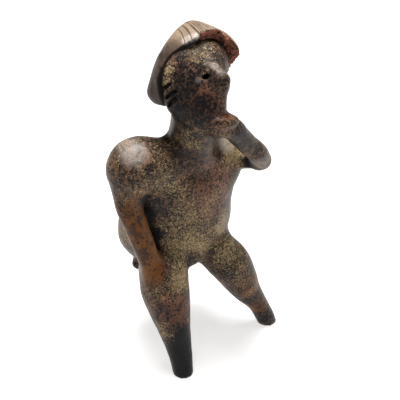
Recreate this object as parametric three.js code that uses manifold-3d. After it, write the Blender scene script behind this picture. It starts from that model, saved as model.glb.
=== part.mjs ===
import * as THREE from "three";
import { mergeVertices } from "three/addons/utils/BufferGeometryUtils.js";
import Module from "manifold-3d";

const wasm = await Module();
wasm.setup();

// The figure is one fired-clay body, hollow inside, standing on two feet and a stub behind.
// Millimetres, +Z up, the figure looks toward -Y and its left hand is on the +X side.

// Sizes
const figureHeight = 280;
const wallThickness = 6.5;
const eyeHoleDiameter = 4.2;
const earSlitWidth = 1.8;
const earSlitLength = 9;
const earSlitDepth = 3;

// The free form is drawn on a figure 280 units tall, and one unit is this many millimetres
const drawnHeight = 280;
const unit = figureHeight / drawnHeight;

// Facet sizes: fine round the head, coarser on the trunk and limbs
const fineFacet = 3.1;
const coarseFacet = 5.5;
const hollowFacet = 7;
const fineReach = 44;
const facetFade = 44;
const longestMove = 0.8;
const flatness = 0.36;

const clay = new THREE.MeshStandardMaterial({
  name: "burnished clay",
  color: 0x5a4636,
  roughness: 0.55,
  metalness: 0.0,
});

// Blending of distance fields

function join(a, b, blend) {
  const h = Math.max(blend - Math.abs(a - b), 0) / blend;
  return Math.min(a, b) - h * h * blend * 0.25;
}

function overlap(a, b, blend) {
  return -join(-a, -b, blend);
}

function clamp(value, low, high) {
  return Math.min(Math.max(value, low), high);
}

function ramp(value, start, end) {
  const t = clamp((value - start) / (end - start), 0, 1);
  return t * t * (3 - 2 * t);
}

// How far a value has risen past its start, with a soft beginning
function softRise(value, start) {
  const past = value - start;
  return 0.5 * (past + Math.sqrt(past * past + 25));
}

// Distance to an egg with centre c and half-sizes r
function egg(x, y, z, c, r) {
  const px = x - c[0];
  const py = y - c[1];
  const pz = z - c[2];
  const near = Math.hypot(px / r[0], py / r[1], pz / r[2]);
  const steep = Math.hypot(px / (r[0] * r[0]), py / (r[1] * r[1]), pz / (r[2] * r[2]));
  return (near * (near - 1)) / Math.max(steep, 1e-9);
}

// Distance to a round bar that tapers from a to b
function taperedBar(x, y, z, a, b, radiusA, radiusB) {
  const ax = b[0] - a[0];
  const ay = b[1] - a[1];
  const az = b[2] - a[2];
  const dot = (x - a[0]) * ax + (y - a[1]) * ay + (z - a[2]) * az;
  const t = clamp(dot / (ax * ax + ay * ay + az * az), 0, 1);
  const gap = Math.hypot(x - a[0] - ax * t, y - a[1] - ay * t, z - a[2] - az * t);
  return gap - (radiusA + (radiusB - radiusA) * t);
}

// A limb follows knots [x, y, z, radius]; it is read along the straight line between its ends
const limbSteps = 96;

function makeLimb(knots) {
  const first = new THREE.Vector3(knots[0][0], knots[0][1], knots[0][2]);
  const lastKnot = knots[knots.length - 1];
  const last = new THREE.Vector3(lastKnot[0], lastKnot[1], lastKnot[2]);
  const line = last.clone().sub(first);
  const length = line.length();
  line.normalize();
  const stations = knots.map(
    (k) => new THREE.Vector3(k[0], k[1], k[2]).sub(first).dot(line) / length
  );
  const table = [];
  for (let step = 0; step <= limbSteps; step += 1) {
    table.push(readKnots(knots, stations, step / limbSteps));
  }
  return { first, line, length, table };
}

// Smooth reading of the knots at t, with slopes taken from the neighbours
function readKnots(knots, stations, t) {
  let i = 0;
  while (i < stations.length - 2 && t > stations[i + 1]) {
    i += 1;
  }
  const span = stations[i + 1] - stations[i];
  const s = clamp((t - stations[i]) / span, 0, 1);
  const row = [];
  for (let k = 0; k < 4; k += 1) {
    const slopeA = slopeAt(knots, stations, i, k) * span;
    const slopeB = slopeAt(knots, stations, i + 1, k) * span;
    const a = knots[i][k];
    const b = knots[i + 1][k];
    row.push(
      a * (1 + 2 * s) * (1 - s) * (1 - s) +
      slopeA * s * (1 - s) * (1 - s) +
      b * s * s * (3 - 2 * s) +
      slopeB * s * s * (s - 1)
    );
  }
  return row;
}

function slopeAt(knots, stations, i, k) {
  const low = Math.max(i - 1, 0);
  const high = Math.min(i + 1, knots.length - 1);
  return (knots[high][k] - knots[low][k]) / (stations[high] - stations[low]);
}

function limb(x, y, z, made) {
  const px = x - made.first.x;
  const py = y - made.first.y;
  const pz = z - made.first.z;
  const along = (px * made.line.x + py * made.line.y + pz * made.line.z) / made.length;
  const place = clamp(along, 0, 1) * limbSteps;
  const i = Math.min(Math.floor(place), limbSteps - 1);
  const s = place - i;
  const a = made.table[i];
  const b = made.table[i + 1];
  const cx = a[0] + (b[0] - a[0]) * s;
  const cy = a[1] + (b[1] - a[1]) * s;
  const cz = a[2] + (b[2] - a[2]) * s;
  return Math.hypot(x - cx, y - cy, z - cz) - (a[3] + (b[3] - a[3]) * s);
}

// Limbs
const rightLeg = makeLimb([
  [-27.7, -13.3, 84, 19.5],
  [-29, -18.4, 68, 19.2],
  [-28.8, -22.3, 56.5, 17.4],
  [-28.1, -29.1, 37.3, 13.3],
  [-27.3, -35.8, 19.1, 9.9],
  [-27.6, -41.2, 3, 8.3],
  [-27.8, -43, -3, 7.8],
]);
const leftLeg = makeLimb([
  [24, -8, 82, 17],
  [33.3, -13.5, 68.6, 17.3],
  [44.1, -16.4, 47.6, 14.4],
  [49.9, -18.1, 35.5, 11.5],
  [58.3, -20.6, 22.1, 8.5],
  [66.3, -23.4, 3, 7.8],
  [68.6, -24.2, -3, 7.4],
]);
const rearStub = makeLimb([
  [4, 30, 84, 18],
  [5, 33, 40, 12],
  [6, 36, 3, 9],
  [6, 36.4, -3, 8.6],
]);
const rightArm = makeLimb([
  [-49, -3, 170, 12.4],
  [-51.6, -5, 157, 11],
  [-52, -8, 145.2, 9.8],
  [-48.6, -12.2, 129.3, 9.1],
  [-44.5, -16, 111.8, 8.6],
  [-40, -18.2, 93, 8.5],
  [-36.2, -19.7, 76.6, 8],
]);
const leftForearm = makeLimb([
  [49.5, -31, 167.5, 8],
  [44.3, -33, 176, 8],
  [34.2, -34.3, 187.1, 7.8],
  [24.1, -37.7, 198.6, 8],
  [15.4, -39.8, 208.2, 8.8],
  [5.5, -39, 212.5, 9.5],
]);

// Head pose: turned a little to its left, face lifted, crown leaning to its left
const headCentre = new THREE.Vector3(2, -12, 236);
const headTurn = 10;
const headLift = 15;
const headLean = 12;

function makeHeadAxes() {
  const turn = THREE.MathUtils.degToRad(headTurn);
  const lift = THREE.MathUtils.degToRad(headLift);
  const lean = THREE.MathUtils.degToRad(headLean);
  const levelFront = new THREE.Vector3(Math.sin(turn), -Math.cos(turn), 0);
  const levelLeft = new THREE.Vector3(Math.cos(turn), Math.sin(turn), 0);
  const upright = new THREE.Vector3(0, 0, 1);
  const front = levelFront.clone().multiplyScalar(Math.cos(lift));
  front.addScaledVector(upright, Math.sin(lift));
  const crown = upright.clone().multiplyScalar(Math.cos(lift));
  crown.addScaledVector(levelFront, -Math.sin(lift));
  const left = levelLeft.clone().multiplyScalar(Math.cos(lean));
  left.addScaledVector(crown, -Math.sin(lean));
  const up = crown.clone().multiplyScalar(Math.cos(lean));
  up.addScaledVector(levelLeft, Math.sin(lean));
  return { left, front, up };
}

const head = makeHeadAxes();

// A point given as left, front, up from the head's centre
function onHead(left, front, up) {
  return headCentre.clone()
    .addScaledVector(head.left, left)
    .addScaledVector(head.front, front)
    .addScaledVector(head.up, up);
}

const neckTop = onHead(0, 4, -20).toArray();

// Trunk, shoulders and haunches
function trunkField(x, y, z) {
  let d = egg(x, y, z, [1, 5, 151], [46.5, 30, 34]);
  d = join(d, egg(x, y, z, [1, 15, 112], [46.5, 38, 42]), 18);
  d = join(d, egg(x, y, z, [0, 25, 94], [41, 31, 25]), 14);
  d = join(d, egg(x, y, z, [34, 1, 161], [17, 16, 19]), 12);
  d = join(d, egg(x, y, z, [-32, 18, 73], [6, 6, 5]), 5);
  return d;
}

function rightShoulderField(x, y, z) {
  return egg(x, y, z, [-41, -2, 177], [22, 21, 20]);
}

// Clay webs fill the hollows between shoulders, chest and neck
function rightWebField(x, y, z) {
  const yoke = taperedBar(x, y, z, [-36, -4, 177], [-6, -7, 181], 15, 12);
  return join(yoke, egg(x, y, z, [-22, -4, 163], [17, 17, 20]), 12);
}

function leftWebField(x, y, z) {
  return taperedBar(x, y, z, [2, -8, 178], [28, -3, 167], 15, 14);
}

function neckField(x, y, z) {
  return taperedBar(x, y, z, [0, -8, 183], neckTop, 17.5, 18.5);
}

// Skull and jaw, in the head's own left, front, up
function skullField(l, f, u) {
  const squeeze = 1 - 0.006 * softRise(u, 4);
  let d = egg(l / squeeze, f / squeeze, u, [0, -2, 10], [27.6, 22, 28]) * 0.85;
  d = join(d, egg(l, f, u, [0, 5, -5], [19, 20, 22]), 8);
  d = join(d, egg(l, f, u, [0, 8, -18], [15, 16, 16]), 8);
  return d;
}

function faceField(l, f, u) {
  let d = skullField(l, f, u);
  d = join(d, egg(l, f, u, [7, 5.6, 17.5], [17, 15.6, 14]), 6);
  d = join(d, taperedBar(l, f, u, [0, 13, 15], [0, 31, 4.6], 4.6, 5), 5);
  d = join(d, taperedBar(l, f, u, [0, 27.5, 0], [0, 20, -4], 6.2, 6), 5);
  d = join(d, taperedBar(l, f, u, [0, 24, -2], [0, 22, -18], 6, 7), 8);
  d = join(d, egg(Math.abs(l), f, u, [16.5, 2, -13], [8, 10, 9]), 5);
  d = join(d, egg(Math.abs(l), f, u, [21.5, 2, -5], [4, 7.5, 9]), 4);
  return d;
}

// The hand is a flat-topped lump pressed against the chin
function handField(l, f, u) {
  const palm = egg(l, f, u, [4.5, 26, -25.5], [11.5, 10.2, 6]);
  const top = 0.05 * l + 0.38 * (f - 30) + 0.92 * (u + 21.5);
  return overlap(palm, top, 0.6);
}

// Cap of hair: a shell over crown and nape, open round the face, its rim standing proud
function capField(l, f, u) {
  const squeeze = 1 - 0.0105 * softRise(u, 4);
  let shell = egg(l / squeeze, f / squeeze, u, [0, -3, 9], [30.8, 28, 34.5]) * 0.8;
  shell = join(shell, egg(l, f, u, [0, -17, -7], [27, 14.5, 12]), 8);
  shell = join(shell, egg(l, f, u, [4, 8, 25], [18, 17, 15]), 10);
  shell = join(shell, egg(l, f, u, [13, 11, 20.5], [14.5, 16.5, 12]), 8);
  const leading = f - 2.2 * clamp(l - 9, 0, 11);
  const lost = 3.2 * ramp(l, -8.5, -6.5);
  const sideRim = -(u - 2.9 * f - 14.3) / 3.07;
  const browRim = -(u - 32 - lost - 0.86 * (leading - 15.7)) / 1.32;
  const behindEar = f + 5;
  let reach = join(join(sideRim, browRim, 2), behindEar, 3);
  reach = overlap(reach, -(u + 16), 4);
  return overlap(shell, reach, 2);
}

// The whole outside, in drawn units
function outsideField(x, y, z) {
  let d = trunkField(x, y, z);
  const armBlend = 2 + 10 * clamp((z - 166) / 14, 0, 1);
  const shoulder = join(rightShoulderField(x, y, z), rightWebField(x, y, z), 10);
  const arm = join(shoulder, limb(x, y, z, rightArm), 12);
  d = join(d, arm, armBlend);
  d = join(d, leftWebField(x, y, z), 8);
  d = join(d, neckField(x, y, z), 7);
  d = join(d, limb(x, y, z, rightLeg), 7);
  d = join(d, limb(x, y, z, leftLeg), 7);
  d = join(d, limb(x, y, z, rearStub), 12);
  d = join(d, egg(x, y, z, [-4, -10, 88], [14, 11, 9]), 6);
  const upperArm = taperedBar(x, y, z, [36, 2, 160], [48, -27, 167], 11, 7.5);
  d = join(d, join(upperArm, limb(x, y, z, leftForearm), 4), 4);
  const px = x - headCentre.x;
  const py = y - headCentre.y;
  const pz = z - headCentre.z;
  const l = px * head.left.x + py * head.left.y + pz * head.left.z;
  const f = px * head.front.x + py * head.front.y + pz * head.front.z;
  const u = px * head.up.x + py * head.up.y + pz * head.up.z;
  d = join(d, faceField(l, f, u), 4);
  d = join(d, handField(l, f, u), 3);
  d = join(d, capField(l, f, u), 1.2);
  return d;
}

// The hollow keeps one wall thickness inside trunk, neck and skull; the limbs are solid
function hollowField(x, y, z) {
  let d = trunkField(x, y, z);
  d = join(d, rightShoulderField(x, y, z), 12);
  d = join(d, neckField(x, y, z), 7);
  const px = x - headCentre.x;
  const py = y - headCentre.y;
  const pz = z - headCentre.z;
  const l = px * head.left.x + py * head.left.y + pz * head.left.z;
  const f = px * head.front.x + py * head.front.y + pz * head.front.z;
  const u = px * head.up.x + py * head.up.y + pz * head.up.z;
  d = join(d, skullField(l, f, u), 5);
  return d + wallThickness / unit;
}

// Grid radius to drawn radius: even cells near the centre, wider ones far away
function stretched(gridRadius, fine, coarse) {
  const fineCells = fineReach / fine;
  const fadeCells = facetFade / ((fine + coarse) / 2);
  if (gridRadius <= fineCells) {
    return gridRadius * fine;
  }
  const past = gridRadius - fineCells;
  if (past <= fadeCells) {
    return fineReach + past * fine + (past * past * (coarse - fine)) / (2 * fadeCells);
  }
  return fineReach + facetFade + (past - fadeCells) * coarse;
}

// Distance from a centre to the farthest clay
function farthestClay(centre) {
  let farthest = 0;
  for (const made of [rightLeg, leftLeg, rearStub, rightArm, leftForearm]) {
    for (const [x, y, z, radius] of made.table) {
      const away = Math.hypot(x - centre[0], y - centre[1], z - centre[2]);
      farthest = Math.max(farthest, away + radius);
    }
  }
  return farthest;
}

// Corners of the cells, bent round the centre
function makeGrid(centre, low, high, fine, coarse) {
  const needed = farthestClay(centre) + 2 * coarse;
  let reach = 0;
  while (stretched(reach, fine, coarse) < needed) {
    reach += 1;
  }
  const start = [-reach, -reach, -reach];
  const count = 2 * reach + 1;
  function corner(i, j, k) {
    const gx = start[0] + i;
    const gy = start[1] + j;
    const gz = start[2] + k;
    const radius = Math.hypot(gx, gy, gz);
    const scale = radius > 0 ? stretched(radius, fine, coarse) / radius : fine;
    return [centre[0] + gx * scale, centre[1] + gy * scale, centre[2] + gz * scale];
  }
  return { count, corner, low, high };
}

function insideBox(point, low, high) {
  for (let k = 0; k < 3; k += 1) {
    if (point[k] < low[k] || point[k] > high[k]) {
      return false;
    }
  }
  return true;
}

const cornerOffsets = [];
for (let k = 0; k < 2; k += 1) {
  for (let j = 0; j < 2; j += 1) {
    for (let i = 0; i < 2; i += 1) {
      cornerOffsets.push([i, j, k]);
    }
  }
}
const cellEdges = [
  [0, 1], [2, 3], [4, 5], [6, 7],
  [0, 2], [1, 3], [4, 6], [5, 7],
  [0, 4], [1, 5], [2, 6], [3, 7],
];
const cellFaces = [
  [0, 1, 3, 2], [4, 5, 7, 6],
  [0, 1, 5, 4], [2, 3, 7, 6],
  [0, 2, 6, 4], [1, 3, 7, 5],
];

// The four cells round a grid edge along each axis, each with its own number for that edge
const edgeRings = [
  { step: [1, 0, 0], cells: [[0, 0, 0, 0], [0, -1, 0, 1], [0, -1, -1, 3], [0, 0, -1, 2]] },
  { step: [0, 1, 0], cells: [[0, 0, 0, 4], [0, 0, -1, 6], [-1, 0, -1, 7], [-1, 0, 0, 5]] },
  { step: [0, 0, 1], cells: [[0, 0, 0, 8], [-1, 0, 0, 9], [-1, -1, 0, 11], [0, -1, 0, 10]] },
];

function edgeBetween(a, b) {
  return cellEdges.findIndex((e) => (e[0] === a && e[1] === b) || (e[0] === b && e[1] === a));
}

// The crossed edges of a cell, sorted into the separate patches of surface that pass through it
function patchesOf(inside) {
  const patch = cellEdges.map((e, i) => (inside[e[0]] !== inside[e[1]] ? i : -1));
  function tie(a, b) {
    const from = patch[a];
    const to = patch[b];
    for (let i = 0; i < patch.length; i += 1) {
      if (patch[i] === from) {
        patch[i] = to;
      }
    }
  }
  for (const face of cellFaces) {
    const crossed = [];
    for (let i = 0; i < 4; i += 1) {
      const edge = edgeBetween(face[i], face[(i + 1) % 4]);
      if (patch[edge] >= 0) {
        crossed.push(edge);
      }
    }
    if (crossed.length === 2) {
      tie(crossed[0], crossed[1]);
    } else if (crossed.length === 4) {
      const first = inside[face[1]] ? 0 : 1;
      tie(crossed[first], crossed[first + 1]);
      tie(crossed[first + 2], crossed[(first + 3) % 4]);
    }
  }
  return patch;
}

// Closed skin of a field: one point for each patch in a crossed cell, one four-sided facet
// on each crossed edge
function skin(field, grid) {
  const n = grid.count;
  const places = new Array(n * n * n);
  const values = new Float64Array(n * n * n);
  const index = (i, j, k) => i + n * (j + n * k);
  for (let k = 0; k < n; k += 1) {
    for (let j = 0; j < n; j += 1) {
      for (let i = 0; i < n; i += 1) {
        const point = grid.corner(i, j, k);
        const at = index(i, j, k);
        places[at] = point;
        values[at] = insideBox(point, grid.low, grid.high)
          ? field(point[0], point[1], point[2])
          : 50;
      }
    }
  }
  const points = [];
  const pointOf = new Map();
  for (let k = 0; k < n - 1; k += 1) {
    for (let j = 0; j < n - 1; j += 1) {
      for (let i = 0; i < n - 1; i += 1) {
        const corners = cornerOffsets.map((o) => index(i + o[0], j + o[1], k + o[2]));
        const inside = corners.map((at) => values[at] < 0);
        if (inside.every((side) => side === inside[0])) {
          continue;
        }
        const patch = patchesOf(inside);
        for (const name of new Set(patch.filter((value) => value >= 0))) {
          const edges = cellEdges.filter((e, at) => patch[at] === name);
          patch.forEach((value, at) => {
            if (value === name) {
              pointOf.set(index(i, j, k) * 12 + at, points.length);
            }
          });
          points.push(patchPoint(edges, corners, places, values, field));
        }
      }
    }
  }
  const triangles = [];
  for (let k = 1; k < n - 1; k += 1) {
    for (let j = 1; j < n - 1; j += 1) {
      for (let i = 1; i < n - 1; i += 1) {
        for (const { step, cells } of edgeRings) {
          const here = values[index(i, j, k)] < 0;
          const there = values[index(i + step[0], j + step[1], k + step[2])] < 0;
          if (here === there) {
            continue;
          }
          const ring = cells.map(
            (c) => pointOf.get(index(i + c[0], j + c[1], k + c[2]) * 12 + c[3])
          );
          if (!here) {
            ring.reverse();
          }
          pushFacet(triangles, ring, points);
        }
      }
    }
  }
  return { points, triangles };
}

// The point of a patch: the mean of its crossings, then drawn onto the surface
function patchPoint(edges, corners, places, values, field) {
  let point = [0, 0, 0];
  for (const [a, b] of edges) {
    const va = values[corners[a]];
    const vb = values[corners[b]];
    const t = va / (va - vb);
    const pa = places[corners[a]];
    const pb = places[corners[b]];
    point = point.map((value, k) => value + (pa[k] + (pb[k] - pa[k]) * t) / edges.length);
  }
  const start = point;
  for (let turn = 0; turn < 3; turn += 1) {
    point = towardSurface(point, field);
  }
  const moved = spacing(start, point);
  const kept = Math.min(1, longestMove / Math.max(moved, 1e-9));
  return point.map((value, k) => start[k] + (value - start[k]) * kept);
}

function towardSurface(point, field) {
  const reach = 0.3;
  const [x, y, z] = point;
  const value = field(x, y, z);
  const slope = [
    (field(x + reach, y, z) - field(x - reach, y, z)) / (2 * reach),
    (field(x, y + reach, z) - field(x, y - reach, z)) / (2 * reach),
    (field(x, y, z + reach) - field(x, y, z - reach)) / (2 * reach),
  ];
  const size = slope[0] ** 2 + slope[1] ** 2 + slope[2] ** 2;
  const move = clamp(value / Math.max(size, 0.25), -1, 1);
  return [x - slope[0] * move, y - slope[1] * move, z - slope[2] * move];
}

// A four-sided facet is split across its shorter diagonal
function pushFacet(triangles, ring, points) {
  const [a, b, c, d] = ring;
  if (spacing(points[a], points[c]) < spacing(points[b], points[d])) {
    triangles.push(a, b, c, a, c, d);
  } else {
    triangles.push(a, b, d, b, c, d);
  }
}

function spacing(p, q) {
  return Math.hypot(p[0] - q[0], p[1] - q[1], p[2] - q[2]);
}

// Solids for joining and cutting

function solidFromSkin(made) {
  const vertProperties = new Float32Array(made.points.length * 3);
  made.points.forEach((point, i) => {
    for (let k = 0; k < 3; k += 1) {
      vertProperties[3 * i + k] = point[k] * unit;
    }
  });
  const triVerts = new Uint32Array(made.triangles);
  const mesh = new wasm.Mesh({ numProp: 3, vertProperties, triVerts });
  return new wasm.Manifold(mesh);
}

function solidFromGeometry(geometry) {
  const plain = geometry.clone();
  plain.deleteAttribute("normal");
  plain.deleteAttribute("uv");
  const welded = mergeVertices(plain, 1e-4);
  const mesh = new wasm.Mesh({
    numProp: 3,
    vertProperties: new Float32Array(welded.attributes.position.array),
    triVerts: new Uint32Array(welded.index.array),
  });
  return new wasm.Manifold(mesh);
}

function geometryFromSolid(solid) {
  const mesh = solid.getMesh();
  const geometry = new THREE.BufferGeometry();
  const places = new Float32Array(mesh.numVert * 3);
  for (let i = 0; i < mesh.numVert; i += 1) {
    for (let k = 0; k < 3; k += 1) {
      places[3 * i + k] = mesh.vertProperties[i * mesh.numProp + k];
    }
  }
  geometry.setAttribute("position", new THREE.BufferAttribute(places, 3));
  geometry.setIndex(new THREE.BufferAttribute(new Uint32Array(mesh.triVerts), 1));
  geometry.computeVertexNormals();
  return geometry;
}

// A round hole from the face into the hollow, for one eye
const eyeSide = 7;
const eyeFront = 20;
const eyeUp = 6.5;
const eyeHoleRun = 34;

function eyeHole(side) {
  const outer = onHead(side * (eyeSide + 3), eyeFront + 12, eyeUp + 1);
  const inner = onHead(side * eyeSide * 0.6, eyeFront - 20, eyeUp - 2);
  const way = inner.clone().sub(outer).normalize();
  const bore = new THREE.CylinderGeometry(eyeHoleDiameter / 2, eyeHoleDiameter / 2, 1, 16);
  bore.scale(1, eyeHoleRun * unit, 1);
  const turn = new THREE.Quaternion().setFromUnitVectors(new THREE.Vector3(0, 1, 0), way);
  bore.applyQuaternion(turn);
  const middle = outer.clone().addScaledVector(way, eyeHoleRun / 2).multiplyScalar(unit);
  bore.translate(middle.x, middle.y, middle.z);
  return solidFromGeometry(bore);
}

// Three slanting slits make each ear
const slitRows = [[-0.5, -1.3], [4.5, -5.9], [5, -11]];
const slitSlant = -33;

function earSlit(side, front, up) {
  const slit = new THREE.BoxGeometry(earSlitDepth * 2, earSlitLength, earSlitWidth);
  slit.rotateX(THREE.MathUtils.degToRad(slitSlant));
  const back = head.front.clone().negate();
  const turn = new THREE.Matrix4().makeBasis(head.left, back, head.up);
  const middle = onHead(side * 26, front, up).multiplyScalar(unit);
  slit.applyMatrix4(turn);
  slit.translate(middle.x, middle.y, middle.z);
  return solidFromGeometry(slit);
}

// Everything under the ground plane is trimmed, so the three soles are flat
function groundBlock() {
  const block = new THREE.BoxGeometry(400 * unit, 400 * unit, 60 * unit);
  block.translate(0, 0, -30 * unit);
  return solidFromGeometry(block);
}

function makeFigure() {
  const bodyGrid = makeGrid(
    headCentre.toArray(), [-90, -90, -20], [100, 90, 300], fineFacet, coarseFacet
  );
  const hollowGrid = makeGrid([0, 5, 150], [-90, -90, 20], [90, 90, 300], hollowFacet, hollowFacet);
  let solid = solidFromSkin(skin(outsideField, bodyGrid));
  for (const side of [-1, 1]) {
    for (const [front, up] of slitRows) {
      solid = solid.subtract(earSlit(side, front, up));
    }
  }
  solid = solid.subtract(solidFromSkin(skin(hollowField, hollowGrid)));
  for (const side of [-1, 1]) {
    solid = solid.subtract(eyeHole(side));
  }
  solid = solid.subtract(groundBlock()).simplify(flatness);
  const geometry = geometryFromSolid(solid);
  geometry.computeBoundingBox();
  const box = geometry.boundingBox;
  geometry.translate(
    -(box.min.x + box.max.x) / 2, -(box.min.y + box.max.y) / 2, -box.min.z
  );
  return geometry;
}

const group = new THREE.Group();
group.name = "hollow_ceramic_figure";
const figure = new THREE.Mesh(makeFigure(), clay);
figure.name = "figure";
group.add(figure);

export default group;
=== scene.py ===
# %% [markdown]
# # A hollow ceramic figure
# The real object is one piece of fired clay, built up by hand, smoothed with a pebble while it
# was leather hard and then buried for centuries. It could be sculpted, or put together from
# separate smooth limbs. Here its whole skin is grown from one distance formula, because then the
# arms melt into the trunk the way wet clay does. The finer marks are pressed into that skin
# afterwards.

import bmesh
import bpy
import numpy as np
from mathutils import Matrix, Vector


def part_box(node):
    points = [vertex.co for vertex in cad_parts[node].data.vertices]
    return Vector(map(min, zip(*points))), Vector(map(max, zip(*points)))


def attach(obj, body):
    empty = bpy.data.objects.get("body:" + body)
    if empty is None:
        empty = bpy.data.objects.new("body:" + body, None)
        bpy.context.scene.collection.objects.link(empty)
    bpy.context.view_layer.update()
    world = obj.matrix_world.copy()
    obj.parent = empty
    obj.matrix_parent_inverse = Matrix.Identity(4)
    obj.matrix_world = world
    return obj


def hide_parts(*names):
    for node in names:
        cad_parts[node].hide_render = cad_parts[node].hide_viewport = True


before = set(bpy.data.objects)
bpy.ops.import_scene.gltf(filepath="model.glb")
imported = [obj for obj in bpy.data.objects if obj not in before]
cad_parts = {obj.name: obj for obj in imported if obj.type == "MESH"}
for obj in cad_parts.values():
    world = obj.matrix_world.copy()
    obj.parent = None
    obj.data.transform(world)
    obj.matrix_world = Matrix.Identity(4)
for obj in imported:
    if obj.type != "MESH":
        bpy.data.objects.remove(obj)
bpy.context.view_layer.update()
figure_low, figure_high = (np.array(corner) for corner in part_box("figure"))
figure_height = figure_high[2] - figure_low[2]
print("figure height in metres:", round(float(figure_height), 4))

# %% [markdown]
# ## One drawing scale
# The maker's drawing is 280 units tall, so one unit is close to a millimetre. Every place below
# is in those units: x runs to the figure's left, y to its back and z up. The finished skin is
# fitted to the solid's own box near the end, and that step turns the units into metres.

# %% Drawing scale
drawn_height = 280.0
facet = 1.45
fine_cuts = 2
print("units to metres:", round(float(figure_height / drawn_height), 6))

# %% [markdown]
# ## Clay that melts together
# A distance formula says how far a point is from a form, and it is negative inside. Taking the
# smaller of two distances joins two forms, and rounding that choice over a few units gives the
# soft web that a thumb leaves where an arm meets a shoulder. Cutting meshes with each other could
# join the forms too, but it would leave a hard line at every seam.

# %% Joining and cutting distances
bend_softness = 25
tiny = 1e-9


def join(a, b, blend):
    closeness = np.maximum(blend - np.abs(a - b), 0) / blend
    return np.minimum(a, b) - closeness * closeness * blend * 0.25


def overlap(a, b, blend):
    return -join(-a, -b, blend)


def ramp(value, start, end):
    t = np.clip((value - start) / (end - start), 0, 1)
    return t * t * (3 - 2 * t)


def soft_rise(value, start):
    past = value - start
    return 0.5 * (past + np.sqrt(past * past + bend_softness))


print("join of two touching forms:", join(np.array([0.0]), np.array([0.0]), 8)[0])

# %% [markdown]
# ## Eggs and bars
# Two simple forms are enough for nearly everything: an egg, which is a ball stretched along each
# axis, and a bar with round ends that thins from one end to the other. Tables of them are joined
# one after the other, each with its own width of blend.


# %% Eggs and tapered bars
def distance_to(p, place):
    return np.sqrt(((p - np.array(place, float)) ** 2).sum(-1))


def egg(p, centre, half):
    q = p - np.array(centre, float)
    half = np.array(half, float)
    near = np.sqrt(((q / half) ** 2).sum(-1))
    steep = np.sqrt(((q / half**2) ** 2).sum(-1))
    return near * (near - 1) / np.maximum(steep, tiny)


def from_segment(p, a, b):
    a = np.array(a, float)
    run = np.array(b, float) - a
    t = np.clip(((p - a) @ run) / (run @ run), 0, 1)
    return np.sqrt(((p - a - t[:, None] * run) ** 2).sum(-1)), t


def tapered_bar(p, a, b, radius_a, radius_b):
    gap, t = from_segment(p, a, b)
    return gap - (radius_a + (radius_b - radius_a) * t)


def join_eggs(d, p, forms):
    for centre, half, blend in forms.values():
        d = join(d, egg(p, centre, half), blend)
    return d


def join_bars(d, p, forms):
    for a, b, radius_a, radius_b, blend in forms.values():
        d = join(d, tapered_bar(p, a, b, radius_a, radius_b), blend)
    return d


print("distance just inside an egg:", egg(np.array([[3.0, 0, 0]]), (0, 0, 0), (4, 5, 6))[0])

# %% [markdown]
# ## Limbs
# Each limb is a rolled coil of clay that swells and thins along its length. A few knots give its
# middle and its radius, and a smooth curve through them gives every step between. A bevelled
# curve would look much the same, but only a formula can melt into the trunk.

# %% Limb tables
limb_steps = 96


def slope_at(rows, stations, i):
    low = max(i - 1, 0)
    high = min(i + 1, len(rows) - 1)
    return (rows[high] - rows[low]) / (stations[high] - stations[low])


def make_limb(knots):
    rows = np.array(knots, float)
    first = rows[0, :3]
    line = rows[-1, :3] - first
    length = np.linalg.norm(line)
    line = line / length
    stations = (rows[:, :3] - first) @ line / length
    table = []
    for t in np.linspace(0, 1, limb_steps + 1):
        i = int(np.clip(np.searchsorted(stations, t) - 1, 0, len(rows) - 2))
        span = stations[i + 1] - stations[i]
        s = np.clip((t - stations[i]) / span, 0, 1)
        start = rows[i] * (1 + 2 * s) * (1 - s) ** 2 + rows[i + 1] * s * s * (3 - 2 * s)
        lean_a = slope_at(rows, stations, i) * span * s * (1 - s) ** 2
        lean_b = slope_at(rows, stations, i + 1) * span * s * s * (s - 1)
        table.append(start + lean_a + lean_b)
    return {"first": first, "line": line, "length": length, "table": np.array(table)}


def along_limb(p, made):
    return (p - made["first"]) @ made["line"] / made["length"]


def limb(p, made):
    along = along_limb(p, made)
    places = np.linspace(0, 1, len(made["table"]))
    columns = [np.interp(along, places, made["table"][:, k]) for k in range(4)]
    middle = np.stack(columns[:3], -1)
    return np.sqrt(((p - middle) ** 2).sum(-1)) - columns[3]


print("steps along each limb:", limb_steps)

# %% [markdown]
# ## Knots of the limbs
# Each row is one knot: its middle in left, back and up, and the radius there. The legs run a
# little below the floor, so that they can be cut flat, and the rear stub carries the trunk.

# %% The five limbs
right_leg = make_limb([
    (-27.7, -13.3, 84, 19.5),
    (-29, -18.4, 68, 19.2),
    (-28.8, -22.3, 56.5, 17.4),
    (-28.1, -29.1, 37.3, 13.3),
    (-27.3, -35.8, 19.1, 9.9),
    (-27.6, -41.2, 3, 8.3),
    (-27.8, -43, -3, 7.8),
])
left_leg = make_limb([
    (24, -8, 82, 17),
    (33.3, -13.5, 68.6, 17.3),
    (44.1, -16.4, 47.6, 14.4),
    (49.9, -18.1, 35.5, 11.5),
    (58.3, -20.6, 22.1, 8.5),
    (66.3, -23.4, 3, 7.8),
    (68.6, -24.2, -3, 7.4),
])
rear_stub = make_limb([
    (4, 30, 84, 18),
    (5, 33, 40, 12),
    (6, 36, 3, 9),
    (6, 36.4, -3, 8.6),
])
right_arm = make_limb([
    (-49, -3, 170, 12.4),
    (-51.6, -5, 157, 11),
    (-52, -8, 145.2, 9.8),
    (-48.6, -12.2, 129.3, 9.1),
    (-44.5, -16, 111.8, 8.6),
    (-40, -18.2, 93, 8.5),
    (-36.2, -19.7, 76.6, 8),
])
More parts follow.
